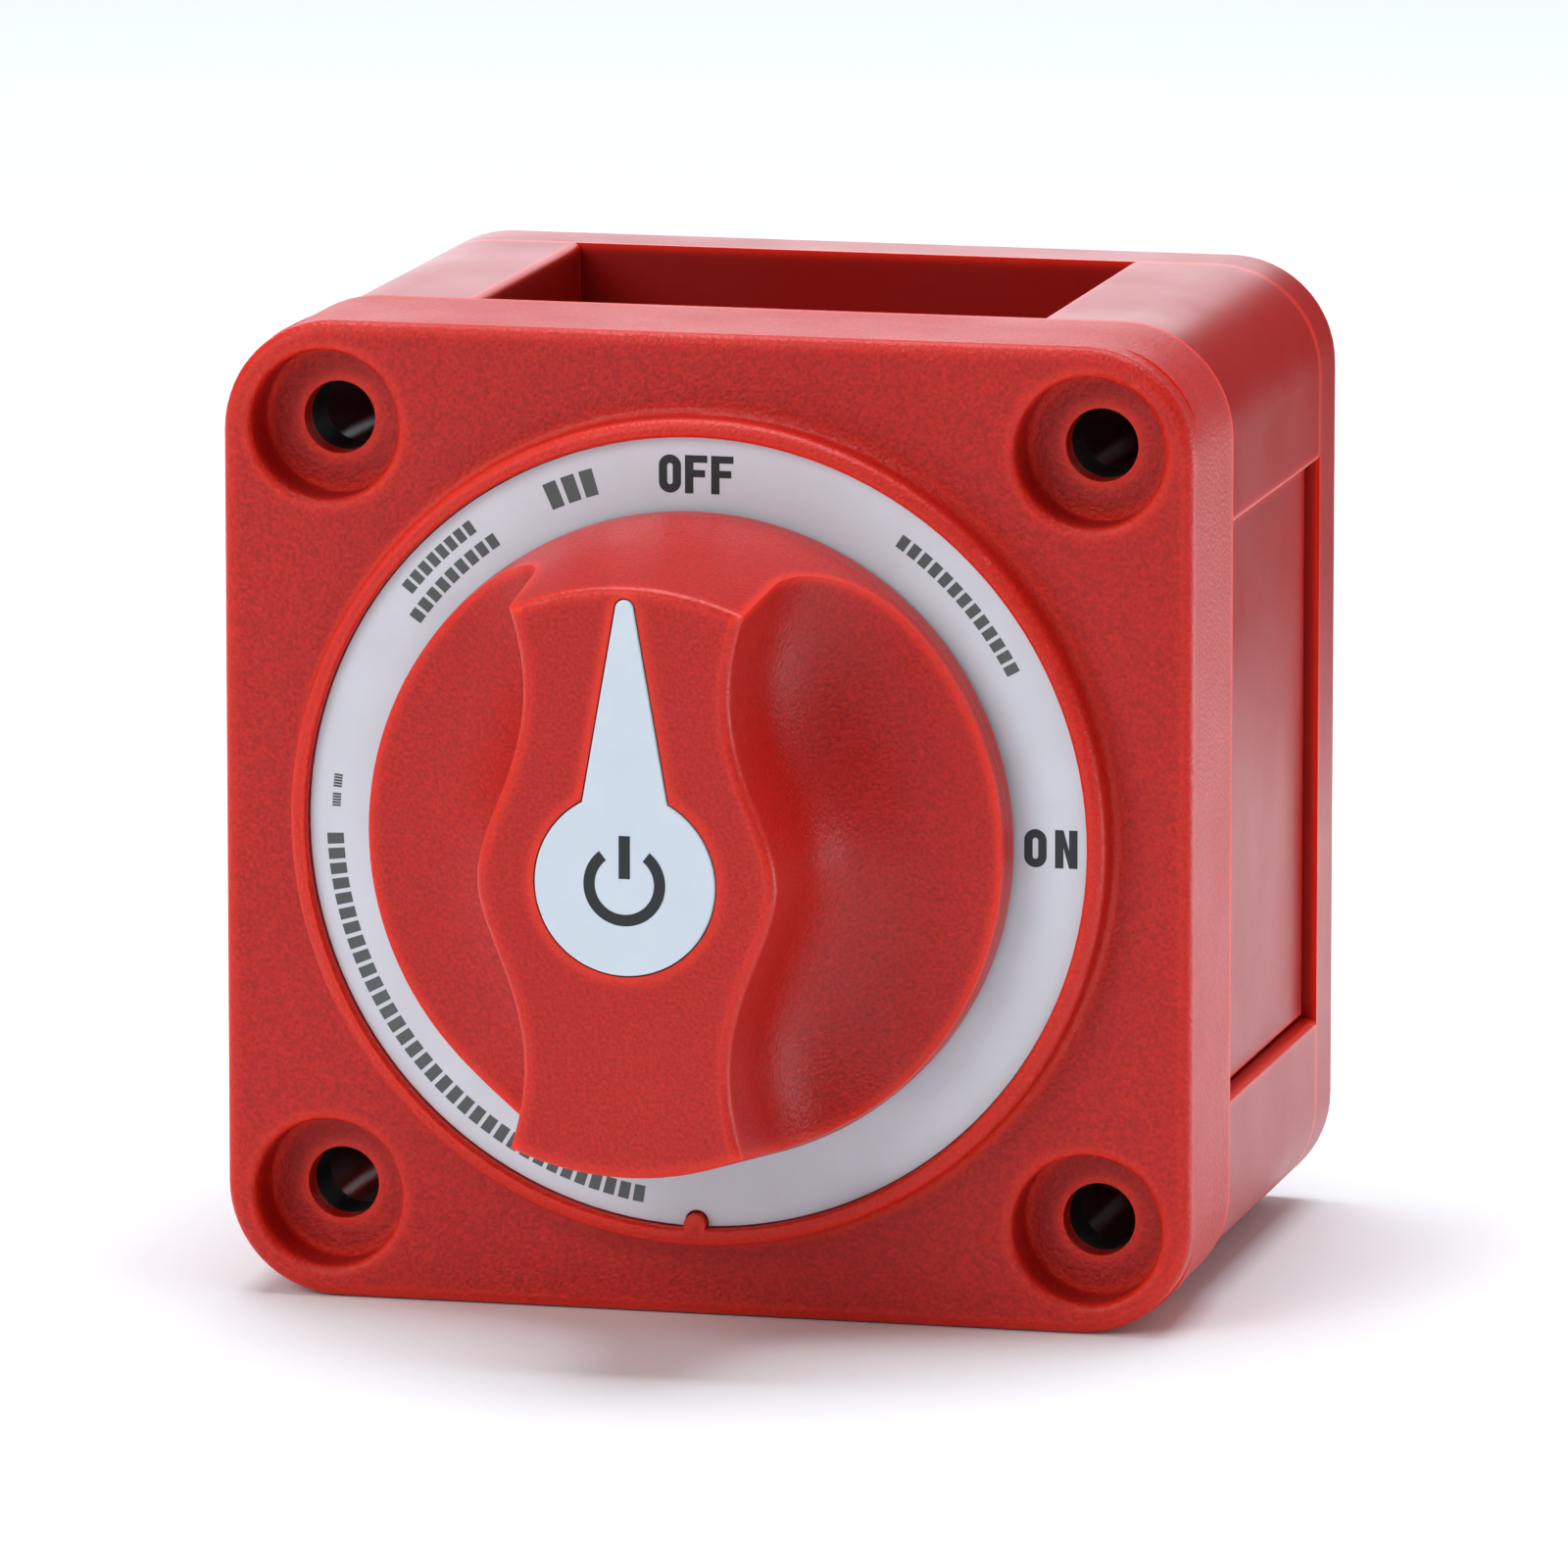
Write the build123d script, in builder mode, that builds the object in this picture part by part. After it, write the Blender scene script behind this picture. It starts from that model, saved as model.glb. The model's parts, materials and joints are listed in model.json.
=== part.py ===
"""Battery switch, 70 mm square: a rotary on/off master switch with a rear terminal compartment.

Frame: X to the right and Z up as seen from the front, Y rearward.  The origin is on the knob's
axis, in the rear mounting face.  A depth is a distance behind the front face, so what stands
proud of the front face has a negative depth.
"""

import os
from math import cos, degrees, radians, sin, sqrt

from build123d import *

os.makedirs("parts", exist_ok=True)

# ---- Body, in millimetres ----
WIDTH = 69.85  # front cover, square
BODY_DEPTH = 51.0  # front face to rear mounting face
CORNER_R = 8.0
WALL = 2.4
FACE_T = 2.8  # front wall of the front cover
EDGE_R = 0.8  # rounding of the front edge
COVER_DEPTH = 13.2  # rear edge of the front cover's skirt
STEP = 0.4  # the housing stands this far inside the front cover
FIT_GAP = 0.2  # between mouldings that slip into each other
BASE_FRONT = 6.2  # depth of the contact base's flange
BASE_REAR = 10.2
HOUSING_REAR = 45.0  # rear end of the corner columns
PORT_HALF = 20.5  # half width of each side's opening

HOUSING_WIDTH = WIDTH - 2 * STEP
HOUSING_R = CORNER_R - STEP
INNER_WIDTH = WIDTH - 2 * WALL
INNER_R = CORNER_R - WALL
FLANGE_WIDTH = INNER_WIDTH - 2 * FIT_GAP
FLANGE_R = INNER_R - FIT_GAP

# ---- Mounting holes ----
HOLE_HALF = 27.5  # half the hole spacing
HOLE_R = 2.6
COUNTERBORE_R = 5.3
COUNTERBORE_DEPTH = 4.2
COUNTERBORE_LIP_R = 0.6
HOLE_BOSS_R = 7.3
COLUMN_WALL = 2.2
COLUMN_BORE_R = 4.6  # bore through each column's floor
COLUMN_FLOOR = 2.0
COLUMN_CORNER_R = 1.5
PORT_EDGE_R = 0.5
WINDOW = 4.0  # latch windows through the column walls
WINDOW_AT = 29.0
COLUMN_INSIDE = 2 * (HOUSING_WIDTH / 2 - COLUMN_WALL - HOLE_HALF)

# ---- Dial: boss rim, label and knob ----
RIM_R = 29.35
RIM_HEIGHT = 3.2
RIM_EDGE_R = 0.7
RIM_INNER_EDGE_R = 0.25
RIM_FOOT_R = 0.5
DIAL_R = 28.1
DIAL_FLOOR = -1.8
KEY_WIDTH = 1.7
KEY_REACH = 0.4
KEY_GAP = 0.2
LABEL_R = 28.0
LABEL_INNER_R = 12.0
LABEL_FRONT = -2.3

KNOB_R = 22.9
KNOB_TOP_R = 20.6
KNOB_BACK = -2.9
KNOB_RIM = -4.8  # end of the knob's straight rim
KNOB_FRONT = -22.6
KNOB_EDGE_R = 0.6
SCOOP_FLOOR = -6.0
SCOOP_R = 8.5
GRIP_BULGE = 10.6  # half widths of the grip on the axis, at the shoulder, waist and end
GRIP_SHOULDER = (8.7, 6.4)
GRIP_WAIST = (7.3, 12.5)
GRIP_END = (9.3, 21.5)
GRIP_RUNOUT = 30.0
HOLLOW = (9.6, 10.0, 15.5)  # width, height and depth of the hollows behind the grip's ends
HOLLOW_CORNER_R = 1.0

POINTER_DISC_R = 6.4
POINTER_BASE = (3.07, 5.4)
POINTER_TIP = (0.66, 19.14)
POINTER_FRONT = KNOB_FRONT - 0.1
POINTER_BACK = -21.4
POINTER_GAP = 0.1
POINTER_EDGE_R = 0.15

# ---- Rotor ----
SQUARE = 9.0  # drive square
SQUARE_TOP = -13.9
JOURNAL_R = 6.0
RUNNING_FIT = 0.05
COLLAR_FRONT = 3.7
COLLAR_REAR = 5.2
COLLAR_R = 9.0
LUG_R = 12.4
LUG_WIDTH = 3.0
LUG_ANGLE = 225.0  # where the stop lug stands when the switch is off
TRAVEL = 90.0
CAM_SQUARE = 14.0
CAM_CORNER_R = 3.0
CAM_REAR = 7.9
SEAT_R = 7.5
SEAT_REAR = 8.7
STEM = 7.0
STEM_REAR = 14.6
TAIL_R = 3.4
TAIL_REAR = 18.3
CLIP_FRONT = 14.75
CLIP_REAR = 15.45
CLIP_GROOVE_R = 2.6
CLIP_R = 5.4

BUSH_R = 8.2
BUSH_FLANGE_R = 10.5
BUSH_REAR = 3.6
SEAL_R = 0.6
SEAL_DEPTH = 1.2
SEAL_GROOVE_R = 4.8

SCREW_R = 2.5
SCREW_HEAD_R = 4.5
SCREW_HEAD_FRONT = -21.0
SCREW_HEAD_REAR = -18.4
SCREW_SEAT = -17.4
SCREW_END = -6.0
SCREW_HEAD_EDGE_R = 1.0
SCREW_TIP = 0.6
SCREW_RECESS = (5.0, 1.0, 1.4)  # length, width and depth of the cross

# ---- Detent ----
STOP_INNER_R = 10.8
STOP_OUTER_R = 13.0
STOP_CLEARANCE = 1.2  # degrees past each end of the travel
SPRING_T = 0.5
SPRING_FRONT = 5.5
SPRING_REAR = 7.7
SPRING_X = CAM_SQUARE / 2 + 0.1
SPRING_HALF = 15.4
POST_Z = 14.5
POST_REAR = 7.9
POST_WIDTH = 4.4
POST_HEIGHT = 4.0
POST_CORNER_R = 0.6
POST_SLOT_GAP = 0.1

# ---- Contacts and terminals ----
STUD_X = 14.0
STUD_R = 5.0  # M10, over the free end
SHANK_R = 4.8  # from the head to the nut
STUD_END = 43.5
STUD_HEAD_FLATS = 15.0
STUD_HEAD_FRONT = 16.2
CUP_R = 26.8
CUP_INNER_R = 24.4
CUP_FLOOR = 19.0
CUP_REAR = 22.0
CUP_EDGE_R = 1.0
SOCKET_WALL = 2.4
SOCKET_LOW = 0.8  # the stud heads stand this far out of their sockets
PAD_MARGIN = 0.6
BARRIER_RISE = 7.0
BARRIER_LENGTH = 26.0
BARRIER_CORNER_R = 0.6
CONTACT_R = 4.2
CONTACT_GAP = 0.1
TIP_FRONT = 15.4
BRIDGE_FRONT = 12.1
BRIDGE_REAR = 14.5
BRIDGE_HALF = 18.5
BRIDGE_WIDTH = 12.0
COIL_R = 6.0
COIL_WIRE_R = 0.45
COIL_PITCH = 1.0
STUD_SEAL_R = 6.6
STUD_SEAL_T = 1.4
WASHER_R = 10.0
WASHER_T = 1.8
LOCK_R = 8.6
LOCK_T = 2.4
LOCK_SPLIT = 1.2
NUT_FLATS = 17.0
NUT_T = 8.4
BORE_EASE = 0.3
NUT_REAR = CUP_REAR + WASHER_T + LOCK_T + NUT_T

# ---- Base fastening ----
FIXING_X = 17.5
FIXING_Z = 26.5
FIXING_R = 1.3
FIXING_HEAD_R = 2.4
FIXING_HEAD_FRONT = 11.6
FIXING_END = 3.5
FIXING_BOSS_R = 2.9
FIXING_EDGE = 0.4
FIXING_RECESS = (2.6, 0.6, 0.9)  # length, width and depth of the cross
GASKET_R = 27.5
GASKET_INNER_R = 25.5
GASKET_T = 0.8

# ---- Side plates and rear cover ----
PLATE_OUTER_X = 33.5
PLATE_T = 2.0
PLATE_HALF = PORT_HALF - FIT_GAP
PLATE_EDGE_R = 0.3
ARM_T = 2.0
ARM_REACH = 7.0
ARM_BUMP = 0.12
ARM_BUMP_LENGTH = 2.0
ARM_SLACK = 0.3  # the arms are this much narrower than the windows on each edge
REAR_PLATE_T = 3.0
REAR_BOSS_R = 6.0
SPIGOT_FRONT = 42.0
SPIGOT_SIZE = 9.0
SPIGOT_CORNER_R = 1.2
RIB_T = 1.8

CORNERS = [(x, z) for x in (-HOLE_HALF, HOLE_HALF) for z in (-HOLE_HALF, HOLE_HALF)]
FIXINGS = [(x, z) for x in (-FIXING_X, FIXING_X) for z in (-FIXING_Z, FIXING_Z)]
STUDS = [(-STUD_X, 0), (STUD_X, 0)]
REACH = 40.0  # half size of construction shapes that run past the body


def plane_at(depth):
    """The plane parallel to the front face at a depth behind it, facing forward."""
    return Plane.XZ.offset(BODY_DEPTH - depth)


def y_at(depth):
    """The Y coordinate of a depth."""
    return depth - BODY_DEPTH


def finish(builder, name):
    """Label a finished piece and write it."""
    builder.part.label = name
    export_step(builder.part, f"parts/{name}.step")


def pointer_outline(plane, gap):
    """The pointer's disc and tapered needle, grown by a gap."""
    with BuildSketch(plane) as outline:
        Circle(POINTER_DISC_R + gap)
        with Locations((0, POINTER_TIP[1])):
            Circle(POINTER_TIP[0] + gap)
        with BuildLine():
            Polyline(
                (-POINTER_BASE[0] - gap, POINTER_BASE[1]),
                (-POINTER_TIP[0] - gap, POINTER_TIP[1]),
                (POINTER_TIP[0] + gap, POINTER_TIP[1]),
                (POINTER_BASE[0] + gap, POINTER_BASE[1]),
                close=True,
            )
        make_face()
    return outline.sketch


def stop_gap(plane):
    """The sector that the stop lug sweeps, with its clearance."""
    half_lug = degrees(LUG_WIDTH / 2 / STOP_INNER_R)
    low = radians(LUG_ANGLE - TRAVEL - half_lug - STOP_CLEARANCE)
    high = radians(LUG_ANGLE + half_lug + STOP_CLEARANCE)
    with BuildSketch(plane) as sector:
        with BuildLine():
            Polyline(
                (0, 0),
                (REACH * cos(low), REACH * sin(low)),
                (REACH * cos(high), REACH * sin(high)),
                close=True,
            )
        make_face()
    return sector.sketch


# ---- Front cover: face, skirt, counterbored corner bosses and the dial's rim ----
with BuildPart() as front_cover:
    with BuildSketch(plane_at(COVER_DEPTH)):
        RectangleRounded(WIDTH, WIDTH, CORNER_R)
    extrude(amount=COVER_DEPTH)
    fillet(front_cover.faces().sort_by(Axis.Y)[0].edges(), EDGE_R)
    with BuildSketch(plane_at(COVER_DEPTH)):
        RectangleRounded(INNER_WIDTH, INNER_WIDTH, INNER_R)
    extrude(amount=COVER_DEPTH - FACE_T, mode=Mode.SUBTRACT)
    with BuildSketch(plane_at(BASE_FRONT)):
        with Locations(*CORNERS):
            Circle(HOLE_BOSS_R)
        with Locations(*FIXINGS):
            Circle(FIXING_BOSS_R)
    extrude(amount=BASE_FRONT - FACE_T)
    with BuildSketch(plane_at(BASE_FRONT - GASKET_T)):
        Circle(GASKET_R)
        Circle(GASKET_INNER_R, mode=Mode.SUBTRACT)
    extrude(amount=BASE_FRONT - GASKET_T - FACE_T)
    # Stop ring, open over the lug's travel.
    with BuildSketch(plane_at(COLLAR_REAR)):
        Circle(STOP_OUTER_R)
        Circle(STOP_INNER_R, mode=Mode.SUBTRACT)
        add(stop_gap(Plane.XY), mode=Mode.SUBTRACT)
    extrude(amount=COLLAR_REAR - FACE_T)
    # Four slotted posts hold the ends of the detent springs.
    with BuildSketch(plane_at(POST_REAR)):
        for side in (-1, 1):
            for end in (-1, 1):
                with Locations((side * (SPRING_X + SPRING_T / 2), end * POST_Z)):
                    RectangleRounded(POST_WIDTH, POST_HEIGHT, POST_CORNER_R)
    extrude(amount=POST_REAR - FACE_T)
    with BuildSketch(plane_at(POST_REAR)):
        for side in (-1, 1):
            with Locations((side * (SPRING_X + SPRING_T / 2), 0)):
                Rectangle(SPRING_T + POST_SLOT_GAP, 2 * (SPRING_HALF + POST_SLOT_GAP))
    extrude(amount=POST_REAR - SPRING_FRONT + POST_SLOT_GAP, mode=Mode.SUBTRACT)
    # Raised rim round the dial, with a key at the bottom that holds the label.
    with BuildSketch(plane_at(0)):
        Circle(RIM_R)
    extrude(amount=RIM_HEIGHT)
    with BuildSketch(plane_at(DIAL_FLOOR)):
        Circle(DIAL_R)
        with Locations((0, -DIAL_R)):
            SlotCenterToCenter(
                2 * KEY_REACH - KEY_GAP, KEY_WIDTH - KEY_GAP, rotation=90, mode=Mode.SUBTRACT
            )
    extrude(amount=RIM_HEIGHT, mode=Mode.SUBTRACT)
    crest = front_cover.faces().sort_by(Axis.Y)[0].edges().filter_by(GeomType.CIRCLE)
    fillet(crest.filter_by(lambda edge: edge.radius > DIAL_R + 0.1), RIM_EDGE_R)
    crest = front_cover.faces().sort_by(Axis.Y)[0].edges().filter_by(GeomType.CIRCLE)
    fillet(crest.filter_by(lambda edge: abs(edge.radius - DIAL_R) < 0.1), RIM_INNER_EDGE_R)
    round_edges = front_cover.edges().filter_by(GeomType.CIRCLE)
    feet = round_edges.filter_by(lambda edge: abs(edge.radius - RIM_R) < 0.1)
    fillet(feet.sort_by(Axis.Y)[-1], RIM_FOOT_R)
    with BuildSketch(plane_at(FACE_T)):
        Circle(BUSH_R)
    extrude(amount=FACE_T + RIM_HEIGHT, mode=Mode.SUBTRACT)
    # Counterbored mounting holes and pilot holes.
    with BuildSketch(plane_at(COUNTERBORE_DEPTH)):
        with Locations(*CORNERS):
            Circle(COUNTERBORE_R)
    extrude(amount=COUNTERBORE_DEPTH, mode=Mode.SUBTRACT)
    round_edges = front_cover.edges().filter_by(GeomType.CIRCLE)
    lips = round_edges.filter_by(lambda edge: abs(edge.radius - COUNTERBORE_R) < 0.01)
    fillet(lips.sort_by(Axis.Y)[:4], COUNTERBORE_LIP_R)
    with BuildSketch(plane_at(BASE_FRONT)):
        with Locations(*CORNERS):
            Circle(HOLE_R)
    extrude(amount=BASE_FRONT, mode=Mode.SUBTRACT)
    with BuildSketch(plane_at(BASE_FRONT)):
        with Locations(*FIXINGS):
            Circle(FIXING_R)
    extrude(amount=BASE_FRONT - FIXING_END, mode=Mode.SUBTRACT)
finish(front_cover, "front_cover")

# ---- Contact base: black flange and cup, sockets for the stud heads, pivot and parking pads ----
with BuildPart() as contact_base:
    with BuildSketch(plane_at(BASE_REAR)):
        RectangleRounded(FLANGE_WIDTH, FLANGE_WIDTH, FLANGE_R)
    extrude(amount=BASE_REAR - BASE_FRONT)
    with BuildSketch(plane_at(CUP_REAR)):
        Circle(CUP_R)
    extrude(amount=CUP_REAR - BASE_REAR)
    fillet(contact_base.faces().sort_by(Axis.Y)[-1].edges(), CUP_EDGE_R)
    with BuildSketch(plane_at(CUP_FLOOR)):
        Circle(CUP_INNER_R)
    extrude(amount=CUP_FLOOR - BASE_FRONT, mode=Mode.SUBTRACT)
    # Hexagonal sockets keep the stud heads from turning.
    with BuildSketch(plane_at(CUP_FLOOR)):
        with Locations(*STUDS):
            Circle(STUD_HEAD_FLATS / 2 + SOCKET_WALL)
            RegularPolygon(
                STUD_HEAD_FLATS / 2 + RUNNING_FIT,
                6,
                major_radius=False,
                rotation=30,
                mode=Mode.SUBTRACT,
            )
    extrude(amount=CUP_FLOOR - STUD_HEAD_FRONT - SOCKET_LOW)
    # Pads that carry the bridge's ends when the switch is off.
    with BuildSketch(plane_at(CUP_FLOOR)):
        with Locations((0, -STUD_X), (0, STUD_X)):
            Circle(CONTACT_R + PAD_MARGIN)
    extrude(amount=CUP_FLOOR - TIP_FRONT)
    # Blind pivot for the rotor's tail.
    with BuildSketch(plane_at(CUP_FLOOR)):
        Circle(TAIL_R + SOCKET_WALL)
    extrude(amount=CUP_FLOOR - STUD_HEAD_FRONT)
    with BuildSketch(plane_at(TAIL_REAR + FIT_GAP)):
        Circle(TAIL_R + RUNNING_FIT)
    extrude(amount=TAIL_REAR, mode=Mode.SUBTRACT)
    # Barrier between the two terminals.
    with BuildSketch(plane_at(CUP_REAR + BARRIER_RISE)):
        RectangleRounded(RIB_T, BARRIER_LENGTH, BARRIER_CORNER_R)
    extrude(amount=BARRIER_RISE)
    with BuildSketch(plane_at(CUP_REAR)):
        with Locations(*STUDS):
            Circle(SHANK_R)
    extrude(amount=CUP_REAR - CUP_FLOOR, mode=Mode.SUBTRACT)
    with BuildSketch(plane_at(CUP_FLOOR + STUD_SEAL_T)):
        with Locations(*STUDS):
            Circle(STUD_SEAL_R)
    extrude(amount=STUD_SEAL_T, mode=Mode.SUBTRACT)
    with BuildSketch(plane_at(BASE_REAR)):
        with Locations(*CORNERS):
            Circle(HOLE_R)
        with Locations(*FIXINGS):
            Circle(FIXING_R + FIT_GAP)
    extrude(amount=BASE_REAR - BASE_FRONT, mode=Mode.SUBTRACT)
finish(contact_base, "contact_base")

# ---- Terminal housing: a square ring with four hollow corner columns ----
with BuildPart() as terminal_housing:
    with BuildSketch(plane_at(HOUSING_REAR)) as columns:
        RectangleRounded(HOUSING_WIDTH, HOUSING_WIDTH, HOUSING_R)
        Rectangle(2 * PORT_HALF, 2 * REACH, mode=Mode.SUBTRACT)
        Rectangle(2 * REACH, 2 * PORT_HALF, mode=Mode.SUBTRACT)
        outer_corners = [v for v in columns.vertices() if min(abs(v.X), abs(v.Y)) < PORT_HALF + 0.1]
        rounded = [v for v in outer_corners if max(abs(v.X), abs(v.Y)) > HOUSING_WIDTH / 2 - 0.1]
        fillet(rounded, PORT_EDGE_R)
    extrude(amount=HOUSING_REAR - COVER_DEPTH)
    with BuildSketch(plane_at(HOUSING_REAR)):
        with Locations(*CORNERS):
            RectangleRounded(COLUMN_INSIDE, COLUMN_INSIDE, COLUMN_CORNER_R)
    extrude(amount=HOUSING_REAR - COVER_DEPTH - COLUMN_FLOOR, mode=Mode.SUBTRACT)
    with BuildSketch(plane_at(COVER_DEPTH)):
        RectangleRounded(FLANGE_WIDTH, FLANGE_WIDTH, FLANGE_R)
        Circle(CUP_R + FIT_GAP, mode=Mode.SUBTRACT)
        with Locations(*FIXINGS):
            Circle(FIXING_R + FIT_GAP, mode=Mode.SUBTRACT)
    extrude(amount=COVER_DEPTH - BASE_REAR)
    with BuildSketch(plane_at(COVER_DEPTH + COLUMN_FLOOR)):
        with Locations(*CORNERS):
            Circle(COLUMN_BORE_R)
    extrude(amount=COVER_DEPTH + COLUMN_FLOOR, mode=Mode.SUBTRACT)
    with BuildSketch(plane_at(COVER_DEPTH)):
        with Locations(*FIXINGS):
            Circle(FIXING_HEAD_R + RUNNING_FIT)
    extrude(amount=COVER_DEPTH - FIXING_HEAD_FRONT, mode=Mode.SUBTRACT)
    # Latch windows through the walls beside each opening.
    with BuildSketch(plane_at(WINDOW_AT + WINDOW / 2)):
        for side in (-1, 1):
            for end in (-1, 1):
                with Locations(
                    (side * (PORT_HALF + COLUMN_WALL / 2), end * WINDOW_AT),
                    (end * WINDOW_AT, side * (PORT_HALF + COLUMN_WALL / 2)),
                ):
                    Rectangle(WINDOW, WINDOW)
    extrude(amount=WINDOW, mode=Mode.SUBTRACT)
finish(terminal_housing, "terminal_housing")

# ---- Rear cover: plate with spigots in front and a ribbed back ----
with BuildPart() as rear_cover:
    with BuildSketch(plane_at(BODY_DEPTH)):
        RectangleRounded(HOUSING_WIDTH, HOUSING_WIDTH, HOUSING_R)
    extrude(amount=BODY_DEPTH - HOUSING_REAR)
    fillet(rear_cover.faces().sort_by(Axis.Y)[-1].edges(), EDGE_R)
    with BuildSketch(plane_at(BODY_DEPTH)):
        RectangleRounded(HOUSING_WIDTH - 2 * WALL, HOUSING_WIDTH - 2 * WALL, HOUSING_R - WALL)
        Rectangle(RIB_T, 2 * REACH, mode=Mode.SUBTRACT)
        Rectangle(2 * REACH, RIB_T, mode=Mode.SUBTRACT)
        with Locations(*CORNERS):
            Circle(REAR_BOSS_R, mode=Mode.SUBTRACT)
    extrude(amount=BODY_DEPTH - HOUSING_REAR - REAR_PLATE_T, mode=Mode.SUBTRACT)
    with BuildSketch(plane_at(HOUSING_REAR)):
        with Locations(*CORNERS):
            RectangleRounded(SPIGOT_SIZE, SPIGOT_SIZE, SPIGOT_CORNER_R)
    extrude(amount=HOUSING_REAR - SPIGOT_FRONT)
    with BuildSketch(plane_at(BODY_DEPTH)):
        with Locations(*CORNERS):
            Circle(HOLE_R)
    extrude(amount=BODY_DEPTH, mode=Mode.SUBTRACT)
finish(rear_cover, "rear_cover")

# ---- Side plates: snap-in closures of the left and right openings ----
for side, side_name in ((-1, "left"), (1, "right")):
    plate_x = side * (PLATE_OUTER_X - PLATE_T / 2)
    arm_x = side * (PLATE_OUTER_X - PLATE_T - ARM_REACH / 2)
    with BuildPart() as side_plate:
        with BuildSketch(plane_at(HOUSING_REAR - FIT_GAP)):
            with Locations((plate_x, 0)):
                Rectangle(PLATE_T, 2 * PLATE_HALF)
        extrude(amount=HOUSING_REAR - COVER_DEPTH - 2 * FIT_GAP)
        fillet(side_plate.faces().sort_by(Axis.X)[0 if side < 0 else -1].edges(), PLATE_EDGE_R)
        with BuildSketch(plane_at(WINDOW_AT + WINDOW / 2 - ARM_SLACK)):
            for end in (-1, 1):
                with Locations((arm_x, end * (PLATE_HALF - ARM_T / 2))):
                    Rectangle(ARM_REACH, ARM_T)
                with Locations((side * WINDOW_AT, end * PLATE_HALF)):
                    Rectangle(ARM_BUMP_LENGTH, 2 * ARM_BUMP)
        extrude(amount=WINDOW - 2 * ARM_SLACK)
    finish(side_plate, f"side_plate_{side_name}")

# ---- Label ring under the knob, notched over the rim's key ----
with BuildPart() as label_ring:
    with BuildSketch(plane_at(DIAL_FLOOR)):
        Circle(LABEL_R)
        Circle(LABEL_INNER_R, mode=Mode.SUBTRACT)
        with Locations((0, -DIAL_R)):
            SlotCenterToCenter(2 * KEY_REACH, KEY_WIDTH, rotation=90, mode=Mode.SUBTRACT)
    extrude(amount=DIAL_FLOOR - LABEL_FRONT)
finish(label_ring, "label_ring")

# ---- Gasket between the front cover and the contact base ----
with BuildPart() as base_gasket:
    with BuildSketch(plane_at(BASE_FRONT)):
        Circle(GASKET_R)
        Circle(GASKET_INNER_R, mode=Mode.SUBTRACT)
    extrude(amount=GASKET_T)
finish(base_gasket, "base_gasket")

# ---- Four self-tapping screws through the housing ring and base into the front cover ----
with BuildPart() as assembly_screws:
    with BuildSketch(plane_at(FIXING_HEAD_FRONT)):
        with Locations(*FIXINGS):
            Circle(FIXING_R)
    extrude(amount=FIXING_HEAD_FRONT - FIXING_END)
    chamfer(assembly_screws.faces().sort_by(Axis.Y)[:4].edges(), FIXING_EDGE)
    with BuildSketch(plane_at(COVER_DEPTH)):
        with Locations(*FIXINGS):
            Circle(FIXING_HEAD_R)
    extrude(amount=COVER_DEPTH - FIXING_HEAD_FRONT)
    fillet(assembly_screws.faces().sort_by(Axis.Y)[-4:].edges(), FIXING_EDGE)
    with BuildSketch(plane_at(COVER_DEPTH)):
        with Locations(*FIXINGS):
            Rectangle(FIXING_RECESS[0], FIXING_RECESS[1])
            Rectangle(FIXING_RECESS[1], FIXING_RECESS[0])
    extrude(amount=FIXING_RECESS[2], mode=Mode.SUBTRACT)
finish(assembly_screws, "assembly_screws")

# ---- Shaft bushing ----
with BuildPart() as shaft_bushing:
    with BuildSketch(plane_at(FACE_T)):
        Circle(BUSH_R)
    extrude(amount=FACE_T - DIAL_FLOOR)
    with BuildSketch(plane_at(BUSH_REAR)):
        Circle(BUSH_FLANGE_R)
    extrude(amount=BUSH_REAR - FACE_T)
    with BuildSketch(plane_at(BUSH_REAR)):
        Circle(JOURNAL_R + RUNNING_FIT)
    extrude(amount=BUSH_REAR - DIAL_FLOOR, mode=Mode.SUBTRACT)
finish(shaft_bushing, "shaft_bushing")

# ---- Detent springs: flat blades on either side of the rotor's square cam ----
for side, side_name in ((-1, "left"), (1, "right")):
    with BuildPart() as detent_spring:
        with BuildSketch(plane_at(SPRING_REAR)):
            with Locations((side * (SPRING_X + SPRING_T / 2), 0)):
                Rectangle(SPRING_T, 2 * SPRING_HALF)
        extrude(amount=SPRING_REAR - SPRING_FRONT)
    finish(detent_spring, f"detent_spring_{side_name}")

# ---- Terminal studs, M10, with hexagonal heads inside the cup ----
for side, side_name in ((-1, "left"), (1, "right")):
    with BuildPart() as stud:
        with BuildSketch(plane_at(CUP_FLOOR)):
            with Locations((side * STUD_X, 0)):
                RegularPolygon(STUD_HEAD_FLATS / 2, 6, major_radius=False, rotation=30)
        extrude(amount=CUP_FLOOR - STUD_HEAD_FRONT)
        with BuildSketch(plane_at(NUT_REAR)):
            with Locations((side * STUD_X, 0)):
                Circle(SHANK_R)
        extrude(amount=NUT_REAR - CUP_FLOOR)
        with BuildSketch(plane_at(STUD_END)):
            with Locations((side * STUD_X, 0)):
                Circle(STUD_R)
        extrude(amount=STUD_END - NUT_REAR)
        chamfer(stud.faces().sort_by(Axis.Y)[-1].edges(), 1.0)
    finish(stud, f"stud_{side_name}")

# ---- Silver contact tips on the stud heads ----
with BuildPart() as fixed_contacts:
    with BuildSketch(plane_at(STUD_HEAD_FRONT)):
        with Locations(*STUDS):
            Circle(CONTACT_R)
    extrude(amount=STUD_HEAD_FRONT - TIP_FRONT)
    fillet(fixed_contacts.faces().sort_by(Axis.Y)[:2].edges(), 0.2)
finish(fixed_contacts, "fixed_contacts")

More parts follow.
